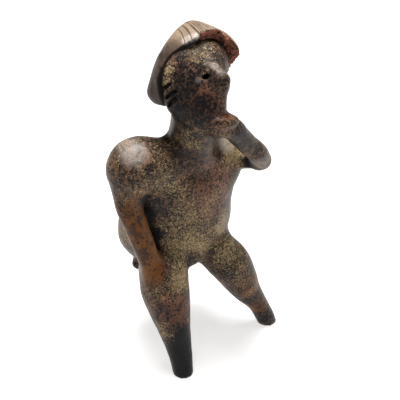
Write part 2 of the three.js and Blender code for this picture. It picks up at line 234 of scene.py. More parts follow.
left_forearm = make_limb([
    (49.5, -31, 167.5, 8),
    (44.3, -33, 176, 8),
    (34.2, -34.3, 187.1, 7.8),
    (24.1, -37.7, 198.6, 8),
    (15.4, -39.8, 208.2, 8.8),
    (5.5, -39, 212.5, 9.5),
])
print("right leg length in units:", round(float(right_leg["length"]), 1))

# %% [markdown]
# ## The head has its own directions
# The face is lifted, turned a little and leans over. It is far easier to place a nose in left,
# front and up of the head itself, so this cell works out those three directions.

# %% Head directions
head_centre = np.array([2.0, -12.0, 236.0])
head_turn, head_lift, head_lean = np.radians([10, 15, 12])


def head_axes():
    level_front = np.array([np.sin(head_turn), -np.cos(head_turn), 0])
    level_left = np.array([np.cos(head_turn), np.sin(head_turn), 0])
    upright = np.array([0, 0, 1.0])
    front = level_front * np.cos(head_lift) + upright * np.sin(head_lift)
    crown = upright * np.cos(head_lift) - level_front * np.sin(head_lift)
    left = level_left * np.cos(head_lean) - crown * np.sin(head_lean)
    up = crown * np.cos(head_lean) + level_left * np.sin(head_lean)
    return np.stack([left, front, up])


axes_of_head = head_axes()


def on_head(left, front, up):
    return head_centre + np.array([left, front, up], float) @ axes_of_head


def from_head(p):
    return (p - head_centre) @ axes_of_head.T


print("face looks along:", axes_of_head[1].round(2))

# %% [markdown]
# ## Trunk, neck and legs
# The trunk is a deep barrel that sags to the rear, and the right shoulder is a great round dome.
# The right arm lies close to the trunk, so it is joined with a tight blend low down and a wide
# one at the shoulder, which keeps the narrow gap beside the ribs open.

# %% Forms of the trunk
neck_top = on_head(0, 4, -20)
chest = ((1, 5, 151), (46.5, 30, 34))
trunk_eggs = {
    "belly": ((1, 15, 112), (46.5, 38, 42), 18),
    "seat": ((0, 25, 94), (41, 31, 25), 14),
    "left shoulder": ((34, 1, 161), (17, 16, 19), 12),
    "hip knob": ((-32, 18, 73), (6, 6, 5), 5),
}
shoulder_dome = ((-41, -2, 177), (22, 21, 20))
shoulder_bars = {"to the neck": ((-36, -4, 177), (-6, -7, 181), 15, 12, 10)}
shoulder_eggs = {"right breast": ((-22, -4, 163), (17, 17, 20), 12)}
neck_bars = {
    "to the left shoulder": ((2, -8, 178), (28, -3, 167), 15, 14, 8),
    "neck": ((0, -8, 183), neck_top, 17.5, 18.5, 7),
}
groin_eggs = {"groin": ((-4, -10, 88), (14, 11, 9), 6)}
left_upper_arm = ((36, 2, 160), (48, -27, 167), 11, 7.5)
legs = [(right_leg, 7), (left_leg, 7), (rear_stub, 12)]
print("eggs in the trunk:", 1 + len(trunk_eggs))

# %% [markdown]
# ## Joining the body
# The forms go together one after the other. Only the width of the blend at the right arm changes
# with height: it is tight along the ribs and opens above the armpit.

# %% Trunk formula
rib_blend = 2
extra_blend = 10
armpit_height = 166
armpit_rise = 14
shoulder_blend = 12
raised_arm_blend = 4


def trunk(p):
    return join_eggs(egg(p, *chest), p, trunk_eggs)


def right_shoulder_and_arm(p):
    d = join_bars(egg(p, *shoulder_dome), p, shoulder_bars)
    d = join_eggs(d, p, shoulder_eggs)
    return join(d, limb(p, right_arm), shoulder_blend)


def body_below_head(p):
    opening = np.clip((p[:, 2] - armpit_height) / armpit_rise, 0, 1)
    arm_blend = rib_blend + extra_blend * opening
    d = join(trunk(p), right_shoulder_and_arm(p), arm_blend)
    d = join_bars(d, p, neck_bars)
    for made, blend in legs:
        d = join(d, limb(p, made), blend)
    d = join_eggs(d, p, groin_eggs)
    upper_arm = tapered_bar(p, *left_upper_arm)
    raised_arm = join(upper_arm, limb(p, left_forearm), raised_arm_blend)
    return join(d, raised_arm, raised_arm_blend)


print("distance at the heart:", round(float(body_below_head(np.array([[0, 6, 150.0]]))[0]), 1))

# %% [markdown]
# ## Face
# The face is plain and stylised: a pinched wedge of a nose, a long column of cheek and jaw, and
# pierced eyes. Eggs and tapered bars are enough for that. The skull is narrower at the crown, so
# its points are pulled in as they rise.

# %% Face formula
taper_start = 4
skull_taper = 0.006
skull_steepness = 0.85
skull = ((0, -2, 10), (27.6, 22, 28))
face_eggs = {
    "cheeks": ((0, 5, -5), (19, 20, 22), 8),
    "jaw": ((0, 8, -18), (15, 16, 16), 8),
    "brow": ((7, 5.6, 17.5), (17, 15.6, 14), 6),
}
nose_bars = {
    "ridge": ((0, 13, 15), (0, 31, 4.6), 4.6, 5, 5),
    "tip": ((0, 27.5, 0), (0, 20, -4), 6.2, 6, 5),
    "lip": ((0, 24, -2), (0, 22, -18), 6, 7, 8),
}
side_eggs = {
    "jaw corner": ((16.5, 2, -13), (8, 10, 9), 5),
    "ear": ((21.5, 2, -5), (4, 7.5, 9), 4),
}


def pulled_in(q, taper):
    squeeze = 1 - taper * soft_rise(q[:, 2], taper_start)
    return np.stack([q[:, 0] / squeeze, q[:, 1] / squeeze, q[:, 2]], -1)


def face(q):
    d = egg(pulled_in(q, skull_taper), *skull) * skull_steepness
    d = join_eggs(d, q, face_eggs)
    d = join_bars(d, q, nose_bars)
    mirrored = np.stack([np.abs(q[:, 0]), q[:, 1], q[:, 2]], -1)
    return join_eggs(d, mirrored, side_eggs)


print("distance at the tip of the nose:", round(float(face(np.array([[0, 31.0, 4.6]]))[0]), 1))

# %% [markdown]
# ## Cap of hair
# The hair is a thick shell laid over the skull. Its edge stands proud of the face, so the shell is
# cut by sloping planes: one down each side, one over the brow and one behind the ears. Toward the
# figure's left the brow plane steps back, where the hair has broken away.

# %% Cap formula
cap_taper = 0.0105
cap_steepness = 0.8
cap_shell = ((0, -3, 9), (30.8, 28, 34.5))
cap_eggs = {
    "nape": ((0, -17, -7), (27, 14.5, 12), 8),
    "top": ((4, 8, 25), (18, 17, 15), 10),
    "left front": ((13, 11, 20.5), (14.5, 16.5, 12), 8),
}
side_rise = 2.9
side_height = 14.3
brow_rise = 0.86
brow_height = 32
brow_start = 15.7
lost_hair = 3.2
ear_front = -5
cap_floor = -16


def cap_reach(q):
    left, front, up = q.T
    leading = front - 2.2 * np.clip(left - 9, 0, 11)
    lost = lost_hair * ramp(left, -8.5, -6.5)
    side_rim = -(up - side_rise * front - side_height) / 3.07
    brow_rim = -(up - brow_height - lost - brow_rise * (leading - brow_start)) / 1.32
    behind_ear = front - ear_front
    reach = join(join(side_rim, brow_rim, 2), behind_ear, 3)
    return overlap(reach, -(up - cap_floor), 4)


def cap(q):
    shell = egg(pulled_in(q, cap_taper), *cap_shell) * cap_steepness
    shell = join_eggs(shell, q, cap_eggs)
    return overlap(shell, cap_reach(q), 2.0)


print("distance above the crown:", round(float(cap(np.array([[0, -3, 60.0]]))[0]), 1))

# %% [markdown]
# ## Raised hand and the whole figure
# The hand is a flattened pad of clay with its top sliced level under the chin. With it the figure
# is complete, and the last line of the formula cuts the feet flat on the floor.

# %% Hand and whole formula
palm = ((4.5, 26, -25.5), (11.5, 10.2, 6))
palm_top = (0, 30, -21.5)
palm_up = np.array([0.05, 0.38, 0.92])
face_blend = 4
hand_blend = 3
cap_blend = 1.2


def hand(q):
    above_palm = (q - palm_top) @ palm_up
    return overlap(egg(q, *palm), above_palm, 0.6)


def whole(p):
    q = from_head(p)
    d = join(body_below_head(p), face(q), face_blend)
    d = join(d, hand(q), hand_blend)
    d = join(d, cap(q), cap_blend)
    return np.maximum(d, -p[:, 2])


print("distance under a foot:", round(float(whole(np.array([[-27.6, -41.2, -2.0]]))[0]), 1))

# %% [markdown]
# ## From formula to skin
# To draw the skin, space is cut into small cells. Metaballs or a remesh could do this too, but a
# grid of one's own keeps every point on the formula. Blocks of cells that are far from the
# surface are skipped, which saves most of the work.

# %% Sampling the formula
block = 8
near_blocks = 1.6
far_away = 99.0
points_at_once = 150000


def read_in_parts(formula, points):
    starts = range(0, len(points), points_at_once)
    return np.concatenate([formula(points[i:i + points_at_once]) for i in starts])


def sample(formula, low, high, cell):
    counts = np.ceil((high - low) / cell / block).astype(int)
    cubes = np.stack(np.meshgrid(*[np.arange(n) for n in counts], indexing="ij"), -1)
    cubes = cubes.reshape(-1, 3)
    middles = low + (cubes * block + (block - 1) / 2) * cell
    rough = read_in_parts(formula, middles)
    close = np.abs(rough) < near_blocks * block * cell
    inner = np.arange(block)
    steps = np.stack(np.meshgrid(inner, inner, inner, indexing="ij"), -1)
    values = np.repeat(np.sign(rough) * far_away, block**3).reshape(-1, block, block, block)
    places = low + (cubes[close][:, None, None, None] * block + steps) * cell
    found = read_in_parts(formula, places.reshape(-1, 3))
    values[close] = found.reshape(-1, block, block, block)
    values = values.reshape(*counts, block, block, block)
    values = values.transpose(0, 3, 1, 4, 2, 5)
    return values.reshape(*(counts * block))


room_low = np.array([-68.0, -66.0, -3.0])
room_high = np.array([82.0, 62.0, 286.0])
values = sample(whole, room_low, room_high, facet)
print("cells along each side:", values.shape)

# %% [markdown]
# ## One point for each crossed cell
# The surface passes through a cell when some of its eight corners are inside and some outside.
# Such a cell gets one point, at the average of the places where its edges are crossed.

# %% Points of the skin
corner_steps = np.array([(i, j, k) for k in (0, 1) for j in (0, 1) for i in (0, 1)])
cell_edges = [
    (0, 1), (2, 3), (4, 5), (6, 7),
    (0, 2), (1, 3), (4, 6), (5, 7),
    (0, 4), (1, 5), (2, 6), (3, 7),
]


def cell_points(values, low, cell):
    inside = values < 0
    shape = np.array(values.shape) - 1
    total = sum(inside[i:i + shape[0], j:j + shape[1], k:k + shape[2]].astype(int)
                for i, j, k in corner_steps)
    cells = np.argwhere((total > 0) & (total < 8))
    at_corners = [values[tuple((cells + step).T)] for step in corner_steps]
    place = np.zeros((len(cells), 3))
    crossings = np.zeros(len(cells))
    for a, b in cell_edges:
        va, vb = at_corners[a], at_corners[b]
        crossed = (va < 0) != (vb < 0)
        t = np.where(crossed, va / np.where(crossed, va - vb, 1), 0)
        spot = corner_steps[a] + t[:, None] * (corner_steps[b] - corner_steps[a])
        place += spot * crossed[:, None]
        crossings += crossed
    points = low + (cells + place / crossings[:, None]) * cell
    number = np.full(shape, -1)
    number[tuple(cells.T)] = np.arange(len(cells))
    return points, number


points, number = cell_points(values, room_low, facet)
print("skin points:", len(points))

# %% [markdown]
# ## Facets between the points
# Where a grid edge crosses the surface, the four cells round it give one facet. The points are
# then moved along the slope of the formula until they lie on its surface, so the skin is smooth
# even though the grid is coarse.

# %% Facets of the skin
rings_of_cells = [
    ((1, 0, 0), ((0, 0, 0), (0, -1, 0), (0, -1, -1), (0, 0, -1))),
    ((0, 1, 0), ((0, 0, 0), (0, 0, -1), (-1, 0, -1), (-1, 0, 0))),
    ((0, 0, 1), ((0, 0, 0), (-1, 0, 0), (-1, -1, 0), (0, -1, 0))),
]
slope_reach = 0.25
least_steepness = 0.25
longest_move = 0.6


def facets(values, number):
    inside = values < 0
    found = []
    core = tuple(slice(1, n - 1) for n in inside.shape)
    for step, cells in rings_of_cells:
        ahead = tuple(slice(1 + s, n - 1 + s) for s, n in zip(step, inside.shape))
        spots = np.argwhere(inside[core] != inside[ahead]) + 1
        outward = inside[tuple(spots.T)]
        ring = np.stack([number[tuple((spots + c).T)] for c in cells], -1)
        ring[~outward] = ring[~outward][:, ::-1]
        found.append(ring)
    return np.concatenate(found)


def slope(formula, points):
    columns = []
    for step in np.eye(3) * slope_reach:
        ahead = read_in_parts(formula, points + step)
        behind = read_in_parts(formula, points - step)
        columns.append((ahead - behind) / (2 * slope_reach))
    return np.stack(columns, -1)


def settle(formula, points, turns):
    for _ in range(turns):
        lean = slope(formula, points)
        steepness = np.maximum((lean**2).sum(-1), least_steepness)
        move = read_in_parts(formula, points) / steepness
        points = points - lean * np.clip(move, -longest_move, longest_move)[:, None]
    return points


quads = facets(values, number)
points = settle(whole, points, 2)
print("facets:", len(quads))

# %% [markdown]
# ## Smaller facets where the maker pressed harder
# Ears, eyes, hair lines and the broken edge need finer clay than the trunk does. Only the facets
# near them are divided, which keeps the mesh light, and the new points are drawn back onto the
# formula.


# %% Dividing the fine places
def needs_fine(p):
    q = from_head(p)
    left, front, up = q.T
    hair = (up > 14) & (front > -14)
    ear = (np.abs(left) > 19) & (np.abs(front - 2) < 12) & (np.abs(up + 6) < 12)
    eye = (np.abs(np.abs(left) - 9) < 7) & (front > 12) & (np.abs(up - 6) < 7)
    raised_hand = distance_to(q, (4, 28, -24)) < 14
    return hair | ear | eye | raised_hand


def divided_mesh(points, quads):
    bm = bmesh.new()
    made = [bm.verts.new(p) for p in points.tolist()]
    for ring in quads.tolist():
        corners = list(dict.fromkeys(ring))
        if len(corners) > 2:
            bm.faces.new([made[i] for i in corners])
    bm.faces.ensure_lookup_table()
    middles = np.array([f.calc_center_median()[:] for f in bm.faces])
    wanted_faces = needs_fine(middles)
    edges = {e for f, wanted in zip(bm.faces, wanted_faces) if wanted for e in f.edges}
    bmesh.ops.subdivide_edges(bm, edges=list(edges), cuts=fine_cuts, use_grid_fill=True)
    bmesh.ops.triangulate(bm, faces=[f for f in bm.faces if len(f.verts) > 4])
    return bm


bm = divided_mesh(points, quads)
skin_points = np.array([v.co[:] for v in bm.verts])
fine = needs_fine(skin_points)
skin_points[fine] = settle(whole, skin_points[fine], 1)
normals = slope(whole, skin_points)
normals /= np.linalg.norm(normals, axis=1, keepdims=True)
in_head = from_head(skin_points)
print("points after dividing:", len(skin_points), "of them fine:", int(fine.sum()))

# %% [markdown]
# ## Lines drawn in the hair
# The hair is drawn with a pointed stick: three lines set wide apart at the temple, then many
# close together over the brow. Each mark is a depth that depends on how far a point is from a
# line, and the lines spread like a fan toward the back.

# %% Hair lines
hair_lines = [-18.3, -13.5, -8.0, -5.7, -3.8, -1.8, 0.5, 2.7, 5.0, 7.6, 10.5, 14.0]
bold_line = -8.0
bold_width = 0.75
line_width = 0.58
hair_line_depth = 0.6


def groove(distance, half_width, depth):
    return depth * (1 - ramp(np.abs(distance), half_width * 0.35, half_width))


def hair_depth(q):
    left, front, up = q.T
    fanned = left / (1 - 0.02 * np.clip(16 - front, 0, 30))
    wave = fanned + 0.3 * np.sin(front * 0.4 + left)
    reach = cap_reach(q)
    on_hair = (cap(q) < 0.6) & (reach < -0.6)
    long_enough = ramp(up, 22, 26) * ramp(reach, -21, -16)
    depth = np.zeros(len(q))
    for line in hair_lines:
        width = bold_width if line == bold_line else line_width
        depth = np.maximum(depth, groove(wave - line, width, hair_line_depth))
    return depth * long_enough * on_hair


hair_marks = hair_depth(in_head)
print("points in hair lines:", int((hair_marks > 0.1).sum()))

# %% [markdown]
# ## Ears and jaw
# Each ear is three slanting slits, cut into a low swelling at the edge of the cap. A shallow
# crease under it parts the jaw from the neck. Both are short straight strokes, so the same
# measure of distance to a segment serves for them.

# %% Ear slits and jaw crease
ear_slits = [
    ((-5.2, -4.0), (4.2, 1.2)),
    ((0.2, -8.4), (8.3, -3.7)),
    ((1.8, -13.7), (8.0, -8.6)),
]
slit_width = 1.8
slit_depth = 2.8
jaw_line = [
    (22.5, -17, 223), (20, -20, 218), (18.6, -24.5, 215.8), (17.2, -29, 214.6), (14, -34, 213),
]
crease_width = 1.9
crease_depth = 1.3


def ear_depth(q):
    depth = np.zeros(len(q))
    flat = q.copy()
    flat[:, 0] = 0
    for (front_a, up_a), (front_b, up_b) in ear_slits:
        near, _ = from_segment(flat, (0, front_a, up_a), (0, front_b, up_b))
        depth = np.maximum(depth, groove(near, slit_width, slit_depth))
    return depth * (np.abs(q[:, 0]) > 17) * (cap(q) > 0.5)


def jaw_depth(p):
    depth = np.zeros(len(p))
    for side in (-1, 1):
        line = [(x * side, y, z) for x, y, z in jaw_line]
        for a, b in zip(line[:-1], line[1:]):
            near, _ = from_segment(p, a, b)
            depth = np.maximum(depth, groove(near, crease_width, crease_depth))
    return depth


fine_marks = hair_marks + ear_depth(in_head)
jaw = jaw_depth(skin_points)
print("deepest mark:", round(float(fine_marks.max()), 2), "jaw:", round(float(jaw.max()), 2))

# %% [markdown]
# ## Pierced eyes
# The eyes were pierced with a reed, and the tool raised a small lid of clay beside each one. A
# hole cut through the mesh would show the hollow inside, but at this size a deep round pit looks
# the same, and it keeps the skin in one piece.

# %% Eye pits
eye_place = (7.8, 22.2, 6.4)
eye_half = (2.4, 2.4, 1.7)
eye_slant = 0.25
pit_depth = 6
lid_place = (12.4, 19.8, 4.0)
lid_radius = 3.4
lid_height = 1.0


def eye_depth(q):
    depth = np.zeros(len(q))
    for side in (-1, 1):
        across, deep, rise = (q - (side * eye_place[0], *eye_place[1:])).T
        rise = rise + eye_slant * side * across
        stretched = [part / half for part, half in zip((across, deep, rise), eye_half)]
        away = np.sqrt(sum(part**2 for part in stretched))
        depth = np.maximum(depth, pit_depth * (1 - ramp(away, 0.8, 1.15)))
        lid = distance_to(q, (side * lid_place[0], *lid_place[1:]))
        depth = depth - lid_height * (1 - ramp(lid, 0.6, lid_radius))
    return depth


eyes = eye_depth(in_head)
print("eye depth:", round(float(eyes.max()), 2))

# %% [markdown]
# ## The break and the unevenness of the hand
# Along the brow the rim of the cap is bare broken clay, with crumbs and pits. The rest of the
# skin is smooth but never quite true. Both come from layered waves, which are the same in every
# run.

# %% Crumbled break
first_turn = np.array([[0.8, 0.5, -0.33], [-0.6, 0.7, -0.39], [0.03, 0.51, 0.86]])
wave_layers = 3


def broken_share(q):
    at_edge = 1 - ramp(np.abs(cap_reach(q)), 0.6, 1.6)
    shell_only = 1 - ramp(cap(q), 0.4, 1.2)
    front_part = ramp(q[:, 0], -7.5, -5.5) * ramp(q[:, 2], 4, 8)
    return at_edge * shell_only * front_part


def rough(p, scale, shift):
    turn = first_turn
    total = np.zeros(len(p))
    for layer in range(wave_layers):
        q = (p @ turn.T) * scale * 1.9**layer + shift * 3.1 + layer
        across = np.sin(q[:, 0] + 1.3 * np.sin(q[:, 1]))
        total += across * np.sin(q[:, 1] + np.sin(q[:, 2])) / 1.6**layer
        turn = turn @ turn.T @ turn
    return total


broken = broken_share(in_head)
hand_made = 0.22 * rough(skin_points, 0.09, 1) + 0.10 * rough(skin_points, 0.3, 4)
crumble = broken * (1.2 * rough(skin_points, 0.45, 2) + 0.7 * rough(skin_points, 1.5, 3) - 0.4)
print("broken points:", int((broken > 0.5).sum()), "crumbs:", round(float(np.ptp(crumble)), 2))

# %% [markdown]
# ## Pressing the marks
# All the depths are added up and each point moves in or out along its normal by that much. The
# soles stay flat, so the figure still stands.

# %% Press the marks into the skin
sole_height = 1.0
lift = hand_made + crumble - fine_marks - eyes - jaw
lift[skin_points[:, 2] < sole_height] = 0
pressed = skin_points + normals * lift[:, None]
print("lowest and highest lift:", round(float(lift.min()), 2), round(float(lift.max()), 2))

# %% [markdown]
# ## Where the colours go
# Firing and burial left their colours in broad clouds: red on the chest and cheek, a black cloud
# on the right shin, orange down the right arm, pale deposit on the trunk. Painting by hand would
# need an image, so each cloud is a soft spot instead: a place, a radius and a strength.


# %% Clouds of colour
def clouds(p, spots):
    total = np.zeros(len(p))
    for place, radius, strength in spots:
        away = distance_to(p, place) / radius
        total = np.maximum(total, strength * (1 - ramp(away, 0.35, 1.0)))
    return total


def column_cloud(p, made, start, end, width):
    along = along_limb(p, made)
    near = 1 - ramp(limb(p, made), width * 0.3, width)
    return near * ramp(along, start, start + 0.4) * (1 - ramp(along, end - 0.2, end))


print("a cloud at its middle:", clouds(np.zeros((1, 3)), [((0, 0, 0), 10, 1.0)])[0])

# %% [markdown]
# ## Red, orange and pale
# Red clay shows where the fire burned clean, orange where the slip was thin, and pale deposit
# where lime settled. The hidden back and left side get clouds of the same kinds.

# %% Places of the red, orange and pale clouds
red_spots = [
    ((13, -23, 157), 30, 1.0), ((8, -26, 138), 24, 0.8), ((-4, -39, 236), 16, 0.9),
    ((-2, -42, 226), 12, 0.6), ((-32, -39, 62), 26, 0.75), ((20, 40, 120), 30, 0.6),
    ((-12, -22, 172), 22, 0.45), ((12, -36, 205), 12, 0.4), ((5, -45, 220), 12, 0.8),
]
orange_spots = [
    ((44, -31, 50), 20, 0.7), ((54, -29, 26), 16, 0.65), ((-31, -40, 60), 13, 0.55),
    ((7, -46, 220), 9, 0.5), ((34, -27, 72), 16, 0.4),
]
pale_spots = [
    ((-10, -22, 99), 30, 0.95), ((-9, -23, 124), 34, 0.6), ((30, -27, 82), 26, 1.0),
    ((26, -24, 112), 18, 1.0), ((43, -31, 52), 18, 0.8), ((3, -20, 264), 14, 0.5),
    ((-20, -16, 248), 12, 0.7), ((-26, -9, 238), 9, 0.7), ((-8, -29, 204), 14, 0.5),
    ((34, -14, 172), 18, 1.0), ((-22, -20, 167), 24, 0.5), ((-20, -33, 86), 18, 1.3),
    ((-45, 25, 108), 26, 0.9), ((5, 45, 140), 30, 0.6), ((-10, 10, 180), 20, 0.6),
    ((20, 52, 100), 28, 0.7), ((40, 20, 130), 24, 0.5), ((-38, -34, 44), 12, 0.7),
]
red = clouds(skin_points, red_spots)
pale = clouds(skin_points, pale_spots)
orange = column_cloud(skin_points, right_arm, 0.0, 1.05, 5)
orange = np.maximum(orange, clouds(skin_points, orange_spots))
print("strongest red, orange and pale:", [round(float(c.max()), 2) for c in (red, orange, pale)])

# %% [markdown]
# ## Fire clouds, painted shade and painted highlights
# Black clouds came where the fire touched the clay, and thinner soot lies on the face. The same
# black clouds also paint shade into the armpit, the gap beside the right arm, the hollow under the
# raised forearm, the groin and the throat. The whitish spots are painted highlights and sheen on the
# highest places: the shoulders, the elbow, the brow and the front of the hair.

# %% Places of the fire clouds, painted shade and painted highlights
# Black spots: fire clouds on the shin, foot and face, and painted shade in the armpit, beside the
# right arm, under the raised forearm, in the groin, at the throat and beside the nose.
fire_cloud_and_shade_spots = [
    ((-27, -45, 24), 22, 1.0), ((-29, -45, 8), 16, 1.0), ((-27, -44, 40), 12, 0.9),
    ((-14, -27, 246), 16, 0.6), ((-17, -23, 225), 18, 0.65), ((-7, -37, 228), 18, 0.65),
    ((19, -28, 71), 16, 0.35), ((51, -29, 32), 13, 0.5), ((-1, -44, 224), 8, 0.4),
    ((22, -48, 200), 20, 0.45), ((-25, 46, 150), 20, 0.5), ((12, 34, 20), 22, 0.6),
    ((64, -27, 10), 14, 0.5), ((-24, -8, 228), 12, 0.8), ((-43, -14, 154), 9, 0.9),
    ((-37, -9, 138), 10, 0.9), ((-33, -12, 118), 9, 0.7), ((42, -28, 166), 8, 1.0),
    ((12, -36, 208), 9, 0.4), ((-6, -30, 206), 13, 0.3), ((-30, -10, 150), 10, 0.6),
    ((20, -24, 176), 8, 0.6), ((-36, -32, 60), 14, 0.35), ((-20, -26, 236), 14, 0.55),
    ((-6, -22, 89), 11, 0.5), ((-8, -20, 180), 22, 0.35), ((-33, -40, 47), 12, 0.5),
    ((2, -37, 249), 8, 0.4), ((-4, -29, 255), 7, 0.3), ((-34, -10, 172), 14, 0.4),
]
# Whitish spots: painted highlights and sheen on the shoulders, the elbow, the brow, the nose ridge,
# the eyelid, the front of the hair and the right flank.
painted_highlight_spots = [
    ((-49, -12, 194), 14, 1.0), ((-49, -2, 197), 12, 0.7), ((28, -13, 179), 11, 1.3),
    ((46, -36, 170), 12, 0.9), ((3, -22, 263), 13, 0.2), ((-6.0, -13.8, 271), 4.2, 1.6),
    ((-3, -15.5, 272.6), 4.2, 1.6), ((0.4, -17.2, 273.6), 3.8, 1.6), ((7, -31.5, 256), 5, 0.6),
    ((9, -38, 254), 5, 0.6), ((2, -29, 258.5), 5, 0.5), ((-6.3, -31.1, 247.7), 3.2, 0.45),
    ((28, -22, 114), 13, 0.4),
]
black = clouds(skin_points, fire_cloud_and_shade_spots)
white = clouds(skin_points, painted_highlight_spots)
print("black points:", int((black > 0.5).sum()), "whitish points:", int((white > 0.5).sum()))

# %% [markdown]
# ## Masks that follow the form
# Some masks come from the form itself. Looking five units out from the skin tells how deep in a
# fold a point lies, and the finish paints shade by it. The cap formula tells hair from face and
# finds the proud rim of the hair, under which shade is painted. The depth of the pressed marks tells
# where the hair lines and ear slits are painted dark and where the eye pits and the jaw crease get
# painted shade.

# %% Masks from the form
look_out = 5.0
# Crown: the hair is paler toward the top and the figure's left, partly a real wash and partly
# painted light from above.
crown = ramp(in_head[:, 2] + 0.5 * in_head[:, 0], 6, 28)
# Painted shade: the deeper a point lies in a fold, the darker the finish paints it.
shelter = read_in_parts(whole, skin_points + normals * look_out) / look_out
hollow_shade = 1 - np.clip(shelter, 0, 1)
cap_distance = cap(in_head)
rim_distance = cap_reach(in_head)
hair = (cap_distance < 0.25) & (rim_distance < 0.2)
# Painted shade under the proud rim of the hair, where its edge overhangs the face.
painted_rim_shade = (1 - ramp(np.abs(rim_distance), 0.9, 2.0)) * (cap_distance < 0.6)
# Hair lines and ear slits are painted dark; the eye pits and the jaw crease get painted shade.
dark_marks_and_pit_shade = np.clip(fine_marks / 0.75, 0, 1) + np.clip(eyes / 2, 0, 1) + 0.6 * jaw
print("hair points:", int(hair.sum()), "sheltered points:", int((hollow_shade > 0.5).sum()))

# %% [markdown]
# ## The figure piece
# The points go back into the mesh and are fitted to the solid's own box in metres, so the dressed
# figure stands exactly where the solid stands. Each mask is stored on the skin under a plain name
# for the finish to read.

# %% Build the figure
drawn_low = pressed.min(axis=0)
drawn_high = pressed.max(axis=0)
to_metres = (figure_high - figure_low) / (drawn_high - drawn_low)
placed = figure_low + (pressed - drawn_low) * to_metres
for vertex, place in zip(bm.verts, placed.tolist()):
    vertex.co = place
for polygon in bm.faces:
    polygon.smooth = True
mesh = bpy.data.meshes.new("clay_figure")
bm.to_mesh(mesh)
bm.free()
figure = bpy.data.objects.new("clay_figure", mesh)
bpy.context.collection.objects.link(figure)

skin_marks = {
    "red": red, "pale": pale, "black": black, "white": white, "orange": orange,
    "shade": hollow_shade, "hair": hair, "crown": crown, "broken": broken, "rim": painted_rim_shade,
    "mark": dark_marks_and_pit_shade,
}
for name, amounts in skin_marks.items():
    layer = mesh.attributes.new(name, "FLOAT", "POINT")
    layer.data.foreach_set("value", np.asarray(amounts, float))

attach(figure, "root")
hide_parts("figure")
print("metres per unit on each axis:", to_metres.round(6))

# %% [markdown]
# ## Tools for the finish
# The same few steps come back in every part of the finish, so each is a small function that adds
# a node and returns its output. A value may be a number or the output of another node.


# %% Node helpers
def add_node(tree, kind, **settings):
    node = tree.nodes.new(kind)
    for key, value in settings.items():
        setattr(node, key, value)
    return node


def plug(tree, value, socket):
    if isinstance(value, bpy.types.NodeSocket):
        tree.links.new(value, socket)
    else:
        socket.default_value = value


def mix_colour(tree, share, first, second):
    node = add_node(tree, "ShaderNodeMix", data_type="RGBA")
    plug(tree, share, node.inputs[0])
    plug(tree, first, node.inputs[6])
    plug(tree, second, node.inputs[7])
    return node.outputs[2]


def calculate(tree, operation, first, second=0.0, third=0.0):
    node = add_node(tree, "ShaderNodeMath", operation=operation)
    plug(tree, first, node.inputs[0])
    plug(tree, second, node.inputs[1])
    plug(tree, third, node.inputs[2])
    return node.outputs[0]


print("helpers so far:", [f.__name__ for f in (add_node, plug, mix_colour, calculate)])

# %% [markdown]
# ## Tools for masks
# A mask is a number between 0 and 1 that says how much of a layer shows at a place. These helpers
# scale a mask, turn it into a soft step, make a noise, or fetch a mask stored on the skin.


# %% Helpers for masks
def scaled(tree, value, factor, offset):
    return calculate(tree, "MULTIPLY_ADD", value, factor, offset)


def times(tree, value, factor):
    return calculate(tree, "MULTIPLY", value, factor)


def step_between(tree, value, start, end, low=0.0, high=1.0):
    node = add_node(tree, "ShaderNodeMapRange", interpolation_type="SMOOTHSTEP")
    plug(tree, value, node.inputs["Value"])
    node.inputs["From Min"].default_value = start
    node.inputs["From Max"].default_value = end
    node.inputs["To Min"].default_value = low
    node.inputs["To Max"].default_value = high
    return node.outputs["Result"]


def noise(tree, place, scale, detail, rough_share):
    node = add_node(tree, "ShaderNodeTexNoise")
    plug(tree, place, node.inputs["Vector"])
    node.inputs["Scale"].default_value = scale
    node.inputs["Detail"].default_value = detail
    node.inputs["Roughness"].default_value = rough_share
    return node.outputs["Fac"]


def skin_mark(tree, name):
    return add_node(tree, "ShaderNodeAttribute", attribute_name=name).outputs["Fac"]


print("masks on the skin:", list(skin_marks))

# %% [markdown]
# ## Speckled deposit
# Lime and manganese settle on buried clay as fine grains that crowd together in clouds. This group
# gives a mask of such grains: a fine noise is cut at a level, and the level follows how crowded
# the place is. It is a group because pale and dark grains both need it, at three sizes.


# %% Grain group
def make_grain_group():
    group = bpy.data.node_groups.new("burial grains", "ShaderNodeTree")
    place = group.interface.new_socket("Place", in_out="INPUT", socket_type="NodeSocketVector")
    crowding = group.interface.new_socket("Crowding", in_out="INPUT", socket_type="NodeSocketFloat")
    size = group.interface.new_socket("Grain Scale", in_out="INPUT", socket_type="NodeSocketFloat")
    group.interface.new_socket("Mask", in_out="OUTPUT", socket_type="NodeSocketFloat")
    crowding.default_value = 0.5
    size.default_value = 900.0
    source = add_node(group, "NodeGroupInput")
    result = add_node(group, "NodeGroupOutput")
    fine_noise = noise(group, source.outputs[place.name], 1.0, 3.0, 0.65)
    group.links.new(source.outputs[size.name], fine_noise.node.inputs["Scale"])
    level = scaled(group, source.outputs[crowding.name], -0.34, 0.72)
    above = calculate(group, "SUBTRACT", fine_noise, level)
    mask = step_between(group, above, -0.02, 0.03)
    group.links.new(mask, result.inputs["Mask"])
    return group


grain_group = make_grain_group()


def grains(tree, place, crowding, size):
    node = add_node(tree, "ShaderNodeGroup", node_tree=grain_group)
    plug(tree, place, node.inputs["Place"])
    plug(tree, crowding, node.inputs["Crowding"])
    plug(tree, size, node.inputs["Grain Scale"])
    return node.outputs["Mask"]


print("grain group sockets:", [s.name for s in grain_group.interface.items_tree])

# %% [markdown]
# ## Colours of the clay
# The fired body is brown, between a dark peat and a warm umber. The hair has a paler wash, partly
# painted light from above, the fresh break is brick red, and a near black paints the dark hair lines
# and painted shade in the folds, pits and under the hair's rim. A whitish colour paints highlights.
# The finish is built in thin layers over these few colours, with painted light and shade among the
# layers of the real surface.

